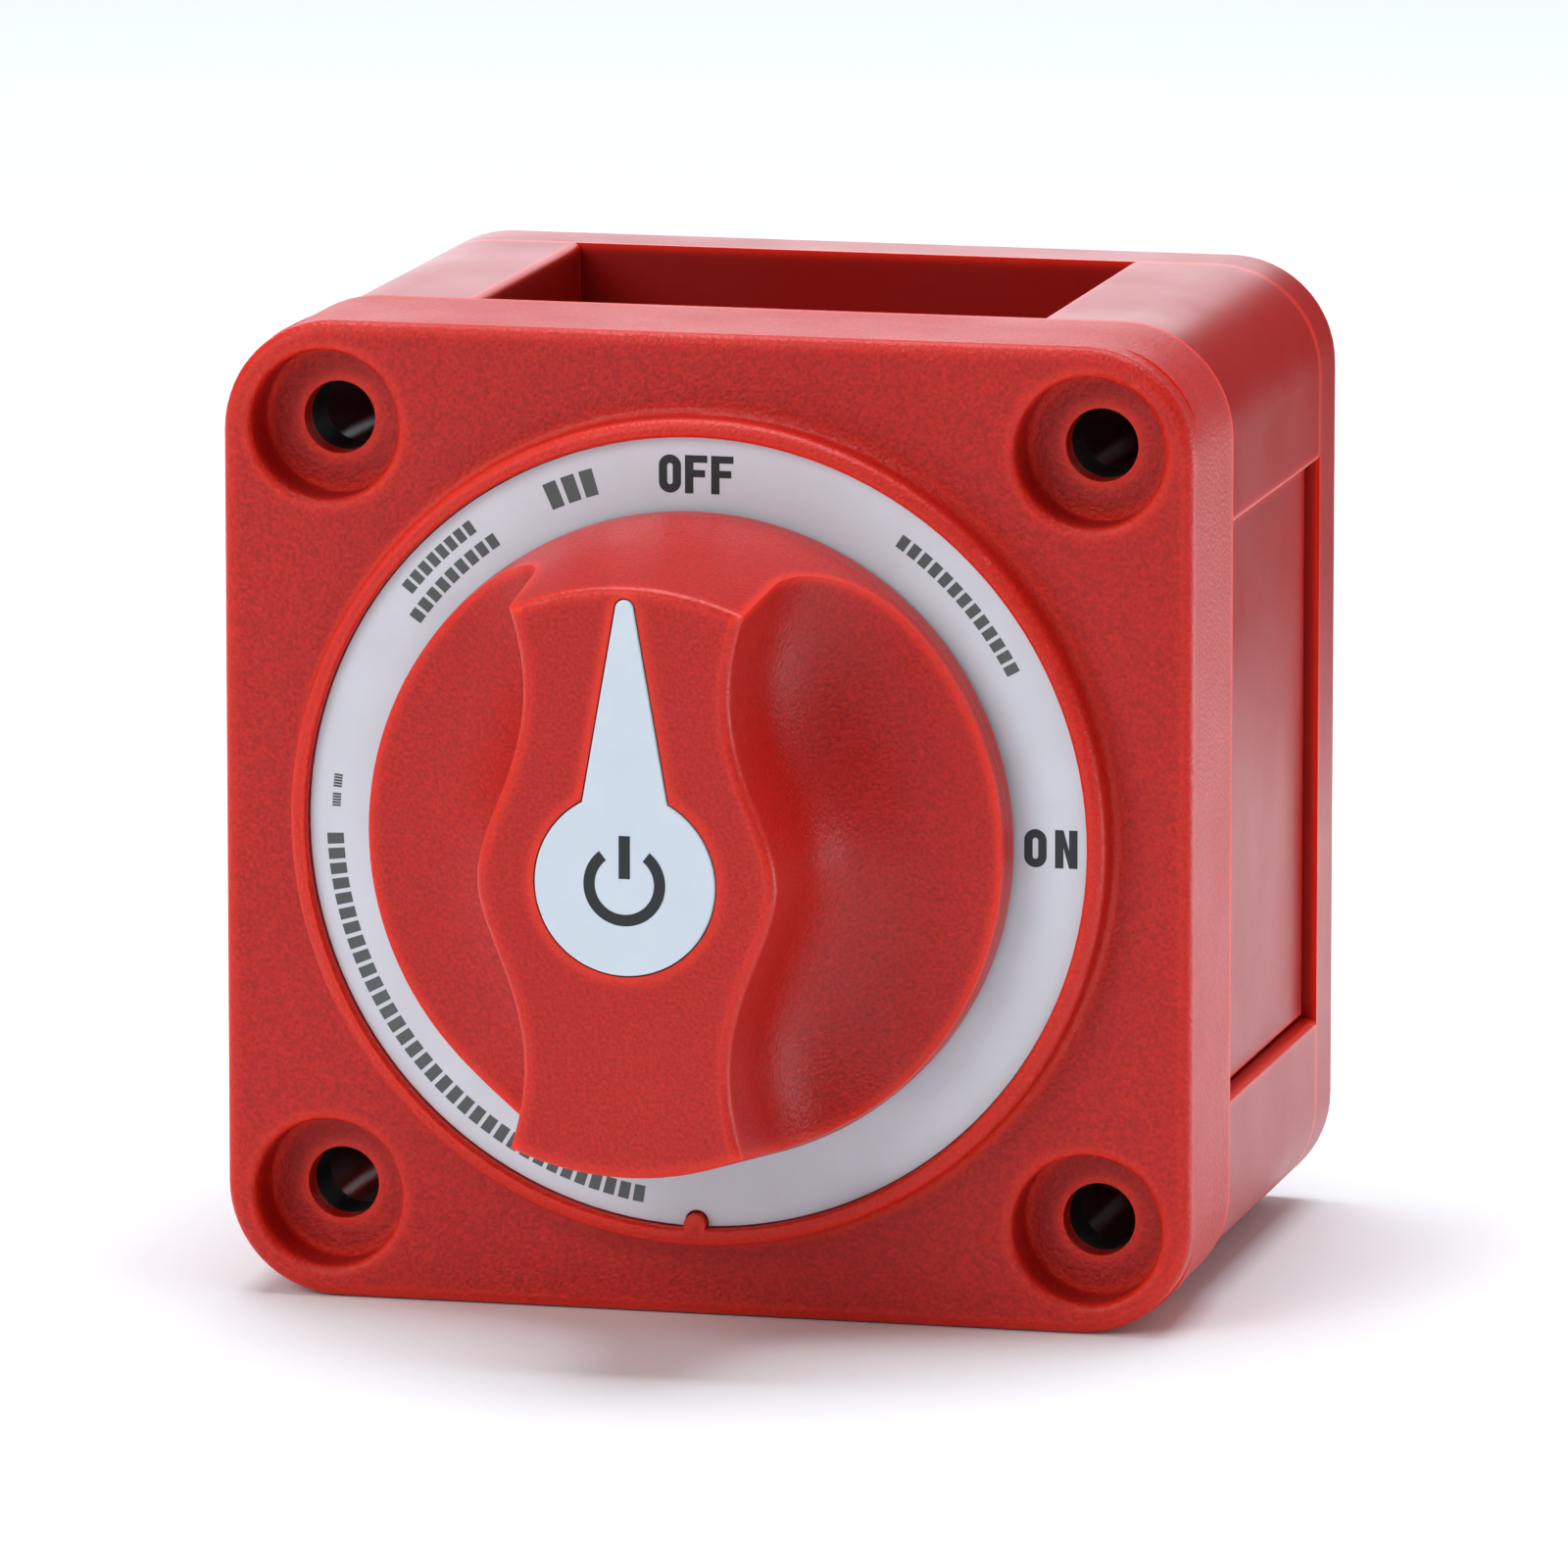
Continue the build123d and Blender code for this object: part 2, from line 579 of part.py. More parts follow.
# ---- Rubber rings under the stud heads ----
with BuildPart() as stud_seals:
    with BuildSketch(plane_at(CUP_FLOOR + STUD_SEAL_T)):
        with Locations(*STUDS):
            Circle(STUD_SEAL_R)
            Circle(SHANK_R, mode=Mode.SUBTRACT)
    extrude(amount=STUD_SEAL_T)
finish(stud_seals, "stud_seals")

# ---- Terminal hardware: flat washers, split lock washers and hexagon nuts ----
lock_front = CUP_REAR + WASHER_T
nut_front = lock_front + LOCK_T

with BuildPart() as flat_washers:
    with BuildSketch(plane_at(lock_front)):
        with Locations(*STUDS):
            Circle(WASHER_R)
            Circle(STUD_R + BORE_EASE, mode=Mode.SUBTRACT)
    extrude(amount=WASHER_T)
    rims = flat_washers.edges().filter_by(GeomType.CIRCLE)
    chamfer(rims.filter_by(lambda rim: rim.radius > STUD_R + 1), 0.2)
finish(flat_washers, "flat_washers")

with BuildPart() as lock_washers:
    with BuildSketch(plane_at(nut_front)):
        with Locations(*STUDS):
            Circle(LOCK_R)
            Circle(STUD_R + BORE_EASE, mode=Mode.SUBTRACT)
    extrude(amount=LOCK_T)
    # Each ring is split by a slanting cut at the top.
    for x, z in STUDS:
        with BuildSketch(Plane.XY.offset(STUD_R)):
            with BuildLine():
                Polyline(
                    (x - LOCK_SPLIT, y_at(lock_front) - 0.1),
                    (x, y_at(lock_front) - 0.1),
                    (x + LOCK_SPLIT, y_at(nut_front) + 0.1),
                    (x, y_at(nut_front) + 0.1),
                    close=True,
                )
            make_face()
        extrude(amount=LOCK_R, mode=Mode.SUBTRACT)
finish(lock_washers, "lock_washers")

with BuildPart() as hex_nuts:
    with BuildSketch(plane_at(NUT_REAR)):
        with Locations(*STUDS):
            Circle(NUT_FLATS / sqrt(3))
    extrude(amount=NUT_T)
    chamfer(hex_nuts.edges().filter_by(GeomType.CIRCLE), 0.6, 1.1)
    with BuildSketch(plane_at(NUT_REAR)):
        with Locations(*STUDS):
            RegularPolygon(NUT_FLATS / 2, 6, major_radius=False)
    extrude(amount=NUT_T, mode=Mode.INTERSECT)
    with BuildSketch(plane_at(NUT_REAR)):
        with Locations(*STUDS):
            Circle(SHANK_R)
    extrude(amount=NUT_T, mode=Mode.SUBTRACT)
finish(hex_nuts, "hex_nuts")

# ---- Rotor shaft: drive square, journal, stop collar, detent cam, spring seat, stem and tail ----
with BuildPart() as rotor_shaft:
    with BuildSketch(plane_at(KNOB_BACK)):
        RectangleRounded(SQUARE, SQUARE, 1.0)
    extrude(amount=KNOB_BACK - SQUARE_TOP)
    with BuildSketch(plane_at(COLLAR_FRONT)):
        Circle(JOURNAL_R)
    extrude(amount=COLLAR_FRONT - KNOB_BACK)
    with BuildSketch(plane_at(SEAL_DEPTH + 0.9)):
        Circle(JOURNAL_R + 1)
        Circle(SEAL_GROOVE_R, mode=Mode.SUBTRACT)
    extrude(amount=1.8, mode=Mode.SUBTRACT)
    with BuildSketch(plane_at(COLLAR_REAR)):
        Circle(COLLAR_R)
        with PolarLocations((COLLAR_R + LUG_R) / 2 - 1, 1, start_angle=LUG_ANGLE):
            Rectangle(LUG_R - COLLAR_R + 2, LUG_WIDTH)
    extrude(amount=COLLAR_REAR - COLLAR_FRONT)
    with BuildSketch(plane_at(CAM_REAR)):
        RectangleRounded(CAM_SQUARE, CAM_SQUARE, CAM_CORNER_R)
    extrude(amount=CAM_REAR - COLLAR_REAR)
    with BuildSketch(plane_at(SEAT_REAR)):
        Circle(SEAT_R)
    extrude(amount=SEAT_REAR - CAM_REAR)
    with BuildSketch(plane_at(STEM_REAR)):
        RectangleRounded(STEM, STEM, 0.8)
    extrude(amount=STEM_REAR - SEAT_REAR)
    with BuildSketch(plane_at(TAIL_REAR)):
        Circle(TAIL_R)
    extrude(amount=TAIL_REAR - STEM_REAR)
    with BuildSketch(plane_at(CLIP_REAR)):
        Circle(TAIL_R + 1)
        Circle(CLIP_GROOVE_R, mode=Mode.SUBTRACT)
    extrude(amount=CLIP_REAR - CLIP_FRONT, mode=Mode.SUBTRACT)
    with BuildSketch(plane_at(SCREW_END + 0.5)):
        Circle(SCREW_R)
    extrude(amount=SCREW_END + 0.5 - SQUARE_TOP, mode=Mode.SUBTRACT)
finish(rotor_shaft, "rotor_shaft")

# ---- O-ring in the journal's groove ----
with BuildPart() as shaft_seal:
    with BuildSketch(Plane.XY):
        with Locations((JOURNAL_R - SEAL_R, y_at(SEAL_DEPTH))):
            Circle(SEAL_R)
    revolve(axis=Axis.Y)
finish(shaft_seal, "shaft_seal")

# ---- Contact bridge, its silver pads, spring and clip ----
with BuildPart() as contact_bridge:
    with BuildSketch(plane_at(BRIDGE_REAR)):
        RectangleRounded(BRIDGE_WIDTH, 2 * BRIDGE_HALF, 3.0)
        Rectangle(STEM + FIT_GAP, STEM + FIT_GAP, mode=Mode.SUBTRACT)
    extrude(amount=BRIDGE_REAR - BRIDGE_FRONT)
    chamfer(contact_bridge.faces().sort_by(Axis.Y)[0].outer_wire().edges(), 0.3)
finish(contact_bridge, "contact_bridge")

with BuildPart() as bridge_contacts:
    with BuildSketch(plane_at(TIP_FRONT - CONTACT_GAP)):
        with Locations((0, -STUD_X), (0, STUD_X)):
            Circle(CONTACT_R)
    extrude(amount=TIP_FRONT - CONTACT_GAP - BRIDGE_REAR)
    fillet(bridge_contacts.faces().sort_by(Axis.Y)[-2:].edges(), 0.2)
finish(bridge_contacts, "bridge_contacts")

coil_rise = BRIDGE_FRONT - SEAT_REAR - 2 * COIL_WIRE_R
with BuildPart() as bridge_spring:
    with BuildLine() as coil:
        Helix(
            COIL_PITCH,
            coil_rise,
            COIL_R,
            center=(0, y_at(SEAT_REAR + COIL_WIRE_R), 0),
            direction=(0, 1, 0),
        )
    with BuildSketch(Plane(origin=coil.line @ 0, z_dir=coil.line % 0)):
        Circle(COIL_WIRE_R)
    sweep(is_frenet=True)
finish(bridge_spring, "bridge_spring")

with BuildPart() as bridge_clip:
    with BuildSketch(plane_at(CLIP_REAR)):
        Circle(CLIP_R)
        Circle(CLIP_GROOVE_R, mode=Mode.SUBTRACT)
        with Locations((0, CLIP_R / 2)):
            Rectangle(3.6, CLIP_R + 1, mode=Mode.SUBTRACT)
    extrude(amount=CLIP_REAR - CLIP_FRONT)
finish(bridge_clip, "bridge_clip")

# ---- Knob: a frustum with a scoop on each side that leaves an hourglass grip ----
scoops = []
for side in (-1, 1):
    with BuildPart() as scoop:
        with BuildSketch(plane_at(SCOOP_FLOOR)):
            with BuildLine():
                Spline(
                    (side * GRIP_RUNOUT / 2, -GRIP_RUNOUT),
                    (side * GRIP_END[0], -GRIP_END[1]),
                    (side * GRIP_WAIST[0], -GRIP_WAIST[1]),
                    (side * GRIP_SHOULDER[0], -GRIP_SHOULDER[1]),
                    (side * GRIP_BULGE, 0),
                    (side * GRIP_SHOULDER[0], GRIP_SHOULDER[1]),
                    (side * GRIP_WAIST[0], GRIP_WAIST[1]),
                    (side * GRIP_END[0], GRIP_END[1]),
                    (side * GRIP_RUNOUT / 2, GRIP_RUNOUT),
                )
                Polyline(
                    (side * GRIP_RUNOUT / 2, GRIP_RUNOUT),
                    (side * REACH, GRIP_RUNOUT),
                    (side * REACH, -GRIP_RUNOUT),
                    (side * GRIP_RUNOUT / 2, -GRIP_RUNOUT),
                )
            make_face()
        extrude(amount=SCOOP_FLOOR - KNOB_FRONT + 2)
        floor_edges = scoop.faces().sort_by(Axis.Y)[-1].edges()
        fillet(floor_edges.filter_by(GeomType.BSPLINE), SCOOP_R)
    scoops.append(scoop.part)

with BuildPart() as knob:
    with BuildSketch(Plane.XY):
        with BuildLine():
            Polyline(
                (0, y_at(KNOB_BACK)),
                (KNOB_R, y_at(KNOB_BACK)),
                (KNOB_R, y_at(KNOB_RIM)),
                (KNOB_TOP_R, y_at(KNOB_FRONT)),
                (0, y_at(KNOB_FRONT)),
                close=True,
            )
        make_face()
    revolve(axis=Axis.Y)
    add(scoops, mode=Mode.SUBTRACT)
    fillet(knob.faces().sort_by(Axis.Y)[0].edges(), KNOB_EDGE_R)
    extrude(pointer_outline(plane_at(POINTER_BACK), POINTER_GAP), amount=4, mode=Mode.SUBTRACT)
    # Socket for the drive square, hollows behind the grip's ends, and the screw's seat and hole.
    with BuildSketch(plane_at(KNOB_BACK)):
        Rectangle(SQUARE + FIT_GAP, SQUARE + FIT_GAP)
    extrude(amount=KNOB_BACK - SQUARE_TOP + 0.1, mode=Mode.SUBTRACT)
    with BuildSketch(plane_at(KNOB_BACK)):
        with Locations((0, -GRIP_WAIST[1] - 0.5), (0, GRIP_WAIST[1] + 0.5)):
            RectangleRounded(HOLLOW[0], HOLLOW[1], HOLLOW_CORNER_R)
    extrude(amount=HOLLOW[2], mode=Mode.SUBTRACT)
    with BuildSketch(plane_at(SCREW_SEAT)):
        Circle(SCREW_HEAD_R + 0.4)
    extrude(amount=SCREW_SEAT - KNOB_FRONT, mode=Mode.SUBTRACT)
    with BuildSketch(plane_at(KNOB_BACK)):
        Circle(SCREW_R + FIT_GAP)
    extrude(amount=KNOB_BACK - KNOB_FRONT, mode=Mode.SUBTRACT)
finish(knob, "knob")

# ---- Pointer insert, which covers the knob's screw ----
with BuildPart() as pointer_insert:
    extrude(pointer_outline(plane_at(POINTER_BACK), 0), amount=POINTER_BACK - POINTER_FRONT)
    fillet(pointer_insert.faces().sort_by(Axis.Y)[0].edges(), POINTER_EDGE_R)
finish(pointer_insert, "pointer_insert")

# ---- Knob screw and the spring washer under its head ----
with BuildPart() as knob_screw:
    with BuildSketch(plane_at(SCREW_HEAD_REAR)):
        Circle(SCREW_HEAD_R)
    extrude(amount=SCREW_HEAD_REAR - SCREW_HEAD_FRONT)
    fillet(knob_screw.faces().sort_by(Axis.Y)[0].edges(), SCREW_HEAD_EDGE_R)
    with BuildSketch(plane_at(SCREW_HEAD_FRONT)):
        Rectangle(SCREW_RECESS[0], SCREW_RECESS[1])
        Rectangle(SCREW_RECESS[1], SCREW_RECESS[0])
    extrude(amount=-SCREW_RECESS[2], mode=Mode.SUBTRACT)
    with BuildSketch(plane_at(SCREW_END)):
        Circle(SCREW_R)
    extrude(amount=SCREW_END - SCREW_HEAD_REAR)
    chamfer(knob_screw.faces().sort_by(Axis.Y)[-1].edges(), SCREW_TIP)
finish(knob_screw, "knob_screw")

with BuildPart() as knob_washer:
    with BuildSketch(plane_at(SCREW_SEAT)):
        Circle(SCREW_HEAD_R + 0.1)
        Circle(SCREW_R + FIT_GAP, mode=Mode.SUBTRACT)
    extrude(amount=SCREW_SEAT - SCREW_HEAD_REAR)
finish(knob_washer, "knob_washer")
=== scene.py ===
"""Battery switch: materials, printed marks, threads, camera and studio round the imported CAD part.

Metres, in the part's frame: X to the right and Z up as seen from the front, Y rearward, with the
origin on the knob's axis in the rear mounting face.
"""

import json
from math import cos, pi, radians, sin

import bpy
from mathutils import Matrix, Vector


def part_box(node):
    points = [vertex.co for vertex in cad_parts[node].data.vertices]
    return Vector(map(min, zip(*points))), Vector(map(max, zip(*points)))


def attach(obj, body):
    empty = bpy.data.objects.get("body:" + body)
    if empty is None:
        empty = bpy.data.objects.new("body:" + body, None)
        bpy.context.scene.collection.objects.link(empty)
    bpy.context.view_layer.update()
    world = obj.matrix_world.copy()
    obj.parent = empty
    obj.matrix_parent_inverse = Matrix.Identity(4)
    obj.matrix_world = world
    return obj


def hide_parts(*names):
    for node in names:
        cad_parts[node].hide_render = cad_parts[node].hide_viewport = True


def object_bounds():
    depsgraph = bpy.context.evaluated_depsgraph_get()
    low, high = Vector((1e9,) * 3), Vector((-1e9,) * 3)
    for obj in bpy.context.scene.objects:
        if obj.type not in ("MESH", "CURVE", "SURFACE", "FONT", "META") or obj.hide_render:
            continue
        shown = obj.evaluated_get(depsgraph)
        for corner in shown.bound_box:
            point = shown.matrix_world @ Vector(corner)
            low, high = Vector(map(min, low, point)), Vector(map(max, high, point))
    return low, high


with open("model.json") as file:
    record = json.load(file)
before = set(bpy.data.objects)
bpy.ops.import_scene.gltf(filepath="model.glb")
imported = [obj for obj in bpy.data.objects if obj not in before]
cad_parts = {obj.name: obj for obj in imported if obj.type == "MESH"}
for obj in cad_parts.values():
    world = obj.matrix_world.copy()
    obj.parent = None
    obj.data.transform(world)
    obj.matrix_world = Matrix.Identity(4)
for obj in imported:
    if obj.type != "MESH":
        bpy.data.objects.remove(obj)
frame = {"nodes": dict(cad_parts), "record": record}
cad_box = [list(corner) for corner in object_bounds()]
nodes = frame["nodes"]
collection = bpy.context.scene.collection

MM = 0.001

# ---- Colours, linear ----
RED = (0.385, 0.0050, 0.002)
RED_DEEP = (0.32, 0.003, 0.0015)
BRIGHT_RED = (0.61, 0.011, 0.0035)
BRIGHT_RED_DEEP = (0.34, 0.0025, 0.0010)
# Painted highlight: a lighter red on the red mouldings' rounded edges, standing in for their shine and
# glow.
RED_EDGE_HIGHLIGHT = (0.95, 0.034, 0.008)
BLACK = (0.018, 0.018, 0.020)
# Painted light: the label ring's pearl is lighter than the insert's white, making up for the knob's shade
# on the ring.
PEARL_LIGHTENED = (0.70, 0.73, 0.80)
INSERT_WHITE = (0.65, 0.71, 0.79)
INK = (0.012, 0.015, 0.018)
GREY_INK = (0.10, 0.12, 0.12)


# ---- Materials ----
GLOSS_SPREAD = 0.12  # share by which roughness varies over a surface
SCATTER_COLOUR = (1.0, 0.06, 0.03)  # how far red, green and blue light travels in the moulding
SCATTER_DEPTH = 2.4 * MM
BUMP_STRENGTH = 0.6
# Edges take the edge colour; on the red mouldings this is a painted highlight.
EDGE_TINT_SHARE = 0.9  # share of the edge colour on the sharpest edge
EDGE_TINT_FROM, EDGE_TINT_TO = 0.85, 0.9995  # agreement of bevelled and true normal: fully tinted, untouched


def add_node(tree, kind, **values):
    """A shader node; the values are input sockets or properties of those names."""
    node = tree.nodes.new(kind)
    for key, value in values.items():
        if key in node.inputs:
            node.inputs[key].default_value = value
        else:
            setattr(node, key, value)
    return node


def noise(tree, coords, scale, detail=3.0, stretch=None):
    """Noise in the part's frame, stretched along an axis if asked."""
    source = coords
    if stretch is not None:
        mapping = add_node(tree, "ShaderNodeMapping")
        mapping.inputs["Scale"].default_value = stretch
        tree.links.new(coords, mapping.inputs["Vector"])
        source = mapping.outputs["Vector"]
    node = add_node(tree, "ShaderNodeTexNoise", Scale=scale, Detail=detail)
    tree.links.new(source, node.inputs["Vector"])
    return node.outputs["Fac"]


def spread(tree, value, low, high, start=0.3, end=0.7):
    """Map a value from start..end to low..high."""
    node = add_node(tree, "ShaderNodeMapRange")
    node.inputs["From Min"].default_value = start
    node.inputs["From Max"].default_value = end
    node.inputs["To Min"].default_value = low
    node.inputs["To Max"].default_value = high
    tree.links.new(value, node.inputs["Value"])
    return node.outputs["Result"]


def mix(tree, factor, first, second):
    """Mix two colours; each is a socket or a colour."""
    node = tree.nodes.new("ShaderNodeMix")
    node.data_type = "RGBA"
    tree.links.new(factor, node.inputs[0])
    for socket, colour in ((node.inputs[6], first), (node.inputs[7], second)):
        if isinstance(colour, tuple):
            socket.default_value = (*colour, 1.0)
        else:
            tree.links.new(colour, socket)
    return node.outputs[2]


def make_material(
    name,
    light,
    dark,
    roughness,
    metallic=0.0,
    grain_scale=1500.0,
    grain_height=0.02,
    mottle_scale=90.0,
    edge=None,
    edge_radius=0.0008,
    stretch=None,
    subsurface=0.0,
    specular=0.5,
    mottle=1.0,
    speckle=0.35,
):
    """A procedural finish: mottled colour, lighter edges (a painted highlight on the red mouldings),
    uneven gloss and a fine grain.

    Noise scales are per metre, the grain's height is in millimetres and the edge's radius in metres.
    """
    material = bpy.data.materials.new(name)
    material.use_nodes = True
    tree = material.node_tree
    shader = tree.nodes["Principled BSDF"]
    shader.inputs["Metallic"].default_value = metallic
    shader.inputs["Specular IOR Level"].default_value = specular
    if subsurface:
        shader.inputs["Subsurface Weight"].default_value = subsurface
        shader.inputs["Subsurface Radius"].default_value = SCATTER_COLOUR
        shader.inputs["Subsurface Scale"].default_value = SCATTER_DEPTH
    coords = add_node(tree, "ShaderNodeTexCoord").outputs["Object"]
    broad = noise(tree, coords, mottle_scale)
    fine = noise(tree, coords, grain_scale, detail=2.0, stretch=stretch)
    colour = mix(tree, spread(tree, broad, 0.0, mottle), light, dark)
    colour = mix(tree, spread(tree, fine, 0.0, speckle), colour, dark)
    # Edge colour where the bevelled normal leaves the true one: a painted highlight on the red mouldings.
    if edge is not None:
        bevel = add_node(tree, "ShaderNodeBevel", samples=4)
        bevel.inputs["Radius"].default_value = edge_radius
        geometry = add_node(tree, "ShaderNodeNewGeometry")
        aligned = add_node(tree, "ShaderNodeVectorMath", operation="DOT_PRODUCT")
        tree.links.new(bevel.outputs["Normal"], aligned.inputs[0])
        tree.links.new(geometry.outputs["Normal"], aligned.inputs[1])
        rim = spread(tree, aligned.outputs["Value"], EDGE_TINT_SHARE, 0.0, EDGE_TINT_FROM, EDGE_TINT_TO)
        colour = mix(tree, rim, colour, edge)
    tree.links.new(colour, shader.inputs["Base Color"])
    gloss = spread(tree, broad, roughness * (1 - GLOSS_SPREAD), roughness * (1 + GLOSS_SPREAD))
    tree.links.new(gloss, shader.inputs["Roughness"])
    bump = add_node(tree, "ShaderNodeBump")
    bump.inputs["Strength"].default_value = BUMP_STRENGTH
    bump.inputs["Distance"].default_value = grain_height * MM
    tree.links.new(fine, bump.inputs["Height"])
    tree.links.new(bump.outputs["Normal"], shader.inputs["Normal"])
    return material


FINISHES = {
    "red_shell": dict(
        light=RED, dark=RED_DEEP, roughness=0.33, grain_scale=1500.0, grain_height=0.010,
        edge=RED_EDGE_HIGHLIGHT, edge_radius=0.0013, specular=0.34, subsurface=0.3, mottle=0.5,
    ),
    "red_grained": dict(
        light=BRIGHT_RED, dark=BRIGHT_RED_DEEP, roughness=0.44, grain_scale=3600.0,
        grain_height=0.14, edge=RED_EDGE_HIGHLIGHT, edge_radius=0.0016, specular=0.38, subsurface=0.2,
        mottle=0.15, speckle=0.9,
    ),
    "red_knob": dict(
        light=BRIGHT_RED, dark=BRIGHT_RED_DEEP, roughness=0.38, grain_scale=3600.0,
        grain_height=0.11, edge=RED_EDGE_HIGHLIGHT, edge_radius=0.0016, specular=0.38, subsurface=0.2,
        mottle=0.15, speckle=0.9,
    ),
    "black_moulding": dict(
        light=BLACK, dark=(0.008, 0.008, 0.009), roughness=0.5, grain_scale=2600.0,
        grain_height=0.03, edge=(0.06, 0.06, 0.06),
    ),
    "label": dict(
        light=PEARL_LIGHTENED, dark=(0.66, 0.69, 0.75), roughness=0.34, metallic=0.1, grain_scale=5000.0,
        grain_height=0.006, mottle_scale=220.0,
    ),
    "insert": dict(
        light=INSERT_WHITE, dark=(0.61, 0.67, 0.75), roughness=0.36, grain_scale=3000.0,
        grain_height=0.006, mottle_scale=200.0,
    ),
    "brass_fittings": dict(
        light=(0.66, 0.43, 0.15), dark=(0.45, 0.27, 0.08), roughness=0.32, metallic=1.0,
        grain_scale=900.0, grain_height=0.006, stretch=(1.0, 14.0, 1.0),
    ),
    "rubber_seals": dict(
        light=(0.022, 0.022, 0.022), dark=(0.010, 0.010, 0.010), roughness=0.72,
        grain_scale=3000.0, grain_height=0.02,
    ),
    "plated_steel": dict(
        light=(0.62, 0.62, 0.60), dark=(0.42, 0.42, 0.41), roughness=0.33, metallic=1.0,
        grain_scale=1800.0, grain_height=0.008, edge=(0.8, 0.8, 0.78), edge_radius=0.0003,
    ),
    "spring_steel": dict(
        light=(0.40, 0.40, 0.42), dark=(0.24, 0.24, 0.26), roughness=0.36, metallic=1.0,
        grain_scale=1500.0, grain_height=0.006,
    ),
    "tinned_copper": dict(
        light=(0.70, 0.69, 0.66), dark=(0.52, 0.50, 0.47), roughness=0.30, metallic=1.0,
        grain_scale=1400.0, grain_height=0.006, mottle_scale=160.0,
    ),
    "copper": dict(
        light=(0.78, 0.38, 0.24), dark=(0.50, 0.20, 0.12), roughness=0.34, metallic=1.0,
        grain_scale=1600.0, grain_height=0.008,
    ),
    "silver_contacts": dict(
        light=(0.86, 0.86, 0.84), dark=(0.62, 0.61, 0.58), roughness=0.28, metallic=1.0,
        grain_scale=1500.0, grain_height=0.006,
    ),
    "stainless_steel": dict(
        light=(0.56, 0.56, 0.57), dark=(0.40, 0.40, 0.41), roughness=0.28, metallic=1.0,
        grain_scale=1500.0, grain_height=0.006, edge=(0.75, 0.75, 0.75), edge_radius=0.0003,
    ),
    "ink": dict(
        light=INK, dark=(0.006, 0.008, 0.010), roughness=0.4, grain_scale=4000.0,
        grain_height=0.004,
    ),
    "grey_ink": dict(
        light=GREY_INK, dark=(0.07, 0.08, 0.08), roughness=0.45, grain_scale=4000.0,
        grain_height=0.004,
    ),
}
MATERIALS = {name: make_material(name, **finish) for name, finish in FINISHES.items()}

# The front cover has a coarser grain than the rest of the shell. The insert keeps its own cooler white;
# the label ring's pearl is painted lighter, making up for the shade the knob casts on the ring.
MATERIAL_OF = {"front_cover": "red_grained", "pointer_insert": "insert"}
for subpart in frame["record"]["subparts"]:
    mesh = nodes[subpart["node"]].data
    mesh.materials.clear()
    finish = MATERIAL_OF.get(subpart["node"], subpart["material_slot"])
    mesh.materials.append(MATERIALS[finish])


# ---- Pieces ----
def add_piece(name, points, faces, body, slot, material):
    """A new mesh piece that rides on a body."""
    mesh = bpy.data.meshes.new(name)
    mesh.from_pydata([tuple(p) for p in points], [], faces)
    mesh.validate()
    mesh.update()
    mesh.materials.append(MATERIALS[material])
    piece = bpy.data.objects.new(name, mesh)
    collection.objects.link(piece)
    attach(piece, body)
    return piece


# ---- Threaded terminal studs in place of the plain ones ----
STUD_RADIUS = 5.0 * MM
THREAD_PITCH = 1.5 * MM
THREAD_DEPTH = 0.8 * MM
THREAD_FLAT = 0.125  # share of the pitch that is flat at crest and root
HEAD_FLATS = 15.0 * MM
END_CHAMFER = 1.0 * MM
AROUND = 60
STEPS_PER_PITCH = 10


def thread_height(phase):
    """Height of a thread over one pitch, 0 at the root and 1 at the crest."""
    rise = abs(2 * (phase % 1.0) - 1.0)
    return min(max((rise - THREAD_FLAT) / (1 - 2 * THREAD_FLAT), 0.0), 1.0)


def hexagon_radius(angle, flats):
    """Distance from the centre to a hexagon's side, with flats facing along X."""
    within = (angle + pi / 6) % (pi / 3) - pi / 6
    return flats / 2 / cos(within)


def threaded_stud(node_name):
    """A stud with a hexagonal head in front, a helical thread behind it and a chamfered end."""
    low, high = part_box(node_name)
    centre = (low + high) / 2
    head_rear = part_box("stud_seals")[0].y
    thread_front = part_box("flat_washers")[0].y
    angles = [2 * pi * k / AROUND for k in range(AROUND)]
    rings = []
    for y in (low.y, head_rear):
        rings.append([(hexagon_radius(a, HEAD_FLATS), y) for a in angles])
    for y in (head_rear, thread_front):
        rings.append([(STUD_RADIUS, y) for a in angles])
    steps = int((high.y - thread_front) / THREAD_PITCH * STEPS_PER_PITCH)
    for step in range(1, steps + 1):
        y = thread_front + (high.y - thread_front) * step / steps
        limit = STUD_RADIUS - max(0.0, END_CHAMFER - (high.y - y))
        ring = []
        for a in angles:
            phase = (y - thread_front) / THREAD_PITCH - a / (2 * pi)
            runout = min(1.0, (y - thread_front) / THREAD_PITCH)
            radius = STUD_RADIUS - THREAD_DEPTH * runout * (1 - thread_height(phase))
            ring.append((min(radius, limit), y))
        rings.append(ring)
    points = [
        (centre.x + r * cos(a), y, centre.z + r * sin(a))
        for ring in rings
        for (r, y), a in zip(ring, angles)
    ]
    faces = []
    for k in range(len(rings) - 1):
        for j in range(AROUND):
            i = (j + 1) % AROUND
            faces.append((k * AROUND + j, (k + 1) * AROUND + j, (k + 1) * AROUND + i, k * AROUND + i))
    faces.append(tuple(range(AROUND)))
    last = (len(rings) - 1) * AROUND
    faces.append(tuple(reversed(range(last, last + AROUND))))
    piece = add_piece(
        node_name + "_threaded", points, faces, "housing", "tinned_copper", "tinned_copper"
    )
    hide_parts(node_name)


for stud_name in ("stud_left", "stud_right"):
    threaded_stud(stud_name)

